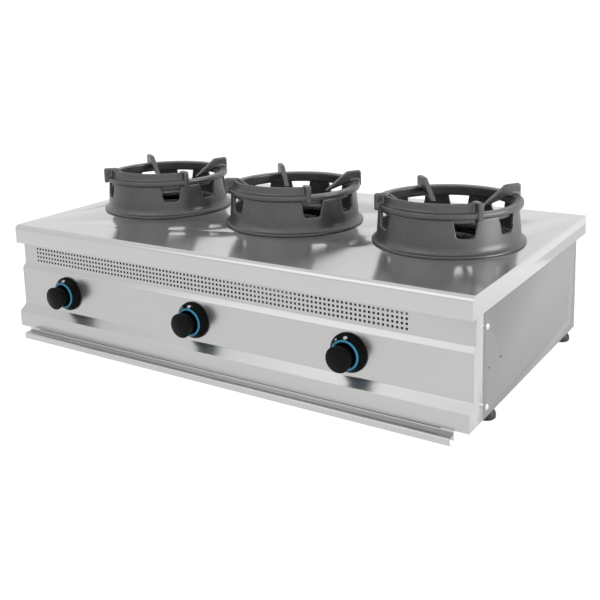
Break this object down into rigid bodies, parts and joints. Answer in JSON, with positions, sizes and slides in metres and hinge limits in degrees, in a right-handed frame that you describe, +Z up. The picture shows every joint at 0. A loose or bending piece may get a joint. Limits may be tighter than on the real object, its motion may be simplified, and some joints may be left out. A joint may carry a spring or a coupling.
{
  "type": "wok range",
  "caption": "Countertop gas wok range: stainless body with a perforated vent strip, control knobs, lift-off cast-iron wok rings with loose pan supports, a slide-out drip tray and adjustable feet.",
  "frame": {"origin": "centre of the bounding box on the plane of the feet", "axes": "+X along the front to the right as seen by the cook, +Y to the back, +Z up"},
  "size_m": [1.203, 0.738, 0.4],
  "materials": {
    "top_steel": "satin stainless sheet, softly reflecting",
    "panel_steel": "satin stainless sheet with a fine horizontal grain",
    "side_steel": "satin stainless sheet",
    "inner_steel": "plain formed steel sheet",
    "tray_steel": "satin stainless sheet",
    "bright_steel": "bright turned or rolled steel",
    "cast_iron": "dark grey cast iron with a fine sand-cast skin",
    "brass": "turned and drawn brass",
    "black_plastic": "glossy black moulded plastic",
    "bezel_blue": "light blue translucent-looking plastic",
    "foot_plastic": "black moulded foot with a flat sole"
  },
  "bodies": {
    "housing": {"top_plate": "top_steel", "top_braces": "inner_steel", "front_panel": "panel_steel", "left_side_panel": "side_steel", "right_side_panel": "side_steel", "rear_panel": "side_steel", "base_frame": "inner_steel", "tray_runners": "inner_steel", "burner_rails": "inner_steel", "bezel_rings": "bezel_blue", "gas_manifold": "brass", "manifold_brackets": "inner_steel", "injectors": "brass", "burner_rims": "bright_steel", "pilot_brackets": "inner_steel", "pilot_burners": "brass", "pilot_tubes": "brass", "thermocouples": "bright_steel", "thermocouple_leads": "brass", "foot_nuts": "bright_steel", "panel_screws": "bright_steel", "left_bezel": "black_plastic", "left_gas_valve": "brass", "left_feed_tube": "brass", "left_burner_body": "cast_iron", "left_burner_cap": "cast_iron", "middle_bezel": "black_plastic", "middle_gas_valve": "brass", "middle_feed_tube": "brass", "middle_burner_body": "cast_iron", "middle_burner_cap": "cast_iron", "right_bezel": "black_plastic", "right_gas_valve": "brass", "right_feed_tube": "brass", "right_burner_body": "cast_iron", "right_burner_cap": "cast_iron"},
    "left_plunger": {"left_valve_plunger": "bright_steel", "left_valve_spring": "bright_steel"},
    "left_control": {"left_knob": "black_plastic", "left_valve_stem": "bright_steel"},
    "left_ring": {"left_wok_ring": "cast_iron"},
    "left_support": {"left_pan_support": "cast_iron"},
    "middle_plunger": {"middle_valve_plunger": "bright_steel", "middle_valve_spring": "bright_steel"},
    "middle_control": {"middle_knob": "black_plastic", "middle_valve_stem": "bright_steel"},
    "middle_ring": {"middle_wok_ring": "cast_iron"},
    "middle_support": {"middle_pan_support": "cast_iron"},
    "right_plunger": {"right_valve_plunger": "bright_steel", "right_valve_spring": "bright_steel"},
    "right_control": {"right_knob": "black_plastic", "right_valve_stem": "bright_steel"},
    "right_ring": {"right_wok_ring": "cast_iron"},
    "right_support": {"right_pan_support": "cast_iron"},
    "tray": {"drip_tray": "tray_steel", "tray_front": "tray_steel"},
    "front_left_leg": {"front_left_foot": "foot_plastic"},
    "front_right_leg": {"front_right_foot": "foot_plastic"},
    "rear_left_leg": {"rear_left_foot": "foot_plastic"},
    "rear_right_leg": {"rear_right_foot": "foot_plastic"}
  },
  "joints": [
    {"name": "left_knob_push", "type": "slide", "parent": "housing", "child": "left_plunger", "axis": [0, 1, 0], "range_m": [0, 0.004], "stiffness_N_per_m": 2500, "springref_m": -0.002},
    {"name": "left_knob_turn", "type": "hinge", "parent": "left_plunger", "child": "left_control", "pos_m": [-0.44, -0.319, 0.129], "axis": [0, -1, 0], "range_deg": [0, 180]},
    {"name": "left_ring_lift", "type": "slide", "parent": "housing", "child": "left_ring", "axis": [0, 0, 1], "range_m": [0, 0.15]},
    {"name": "left_support_lift", "type": "slide", "parent": "left_ring", "child": "left_support", "axis": [0, 0, 1], "range_m": [0, 0.05]},
    {"name": "middle_knob_push", "type": "slide", "parent": "housing", "child": "middle_plunger", "axis": [0, 1, 0], "range_m": [0, 0.004], "stiffness_N_per_m": 2500, "springref_m": -0.002},
    {"name": "middle_knob_turn", "type": "hinge", "parent": "middle_plunger", "child": "middle_control", "pos_m": [-0.05, -0.319, 0.129], "axis": [0, -1, 0], "range_deg": [0, 180]},
    {"name": "middle_ring_lift", "type": "slide", "parent": "housing", "child": "middle_ring", "axis": [0, 0, 1], "range_m": [0, 0.15]},
    {"name": "middle_support_lift", "type": "slide", "parent": "middle_ring", "child": "middle_support", "axis": [0, 0, 1], "range_m": [0, 0.05]},
    {"name": "right_knob_push", "type": "slide", "parent": "housing", "child": "right_plunger", "axis": [0, 1, 0], "range_m": [0, 0.004], "stiffness_N_per_m": 2500, "springref_m": -0.002},
    {"name": "right_knob_turn", "type": "hinge", "parent": "right_plunger", "child": "right_control", "pos_m": [0.34, -0.319, 0.129], "axis": [0, -1, 0], "range_deg": [0, 180]},
    {"name": "right_ring_lift", "type": "slide", "parent": "housing", "child": "right_ring", "axis": [0, 0, 1], "range_m": [0, 0.15]},
    {"name": "right_support_lift", "type": "slide", "parent": "right_ring", "child": "right_support", "axis": [0, 0, 1], "range_m": [0, 0.05]},
    {"name": "tray_slide", "type": "slide", "parent": "housing", "child": "tray", "axis": [0, -1, 0], "range_m": [0, 0.45]},
    {"name": "front_left_foot_adjust", "type": "slide", "parent": "housing", "child": "front_left_leg", "axis": [0, 0, -1], "range_m": [0, 0.015]},
    {"name": "front_right_foot_adjust", "type": "slide", "parent": "housing", "child": "front_right_leg", "axis": [0, 0, -1], "range_m": [0, 0.015]},
    {"name": "rear_left_foot_adjust", "type": "slide", "parent": "housing", "child": "rear_left_leg", "axis": [0, 0, -1], "range_m": [0, 0.015]},
    {"name": "rear_right_foot_adjust", "type": "slide", "parent": "housing", "child": "rear_right_leg", "axis": [0, 0, -1], "range_m": [0, 0.015]}
  ]
}
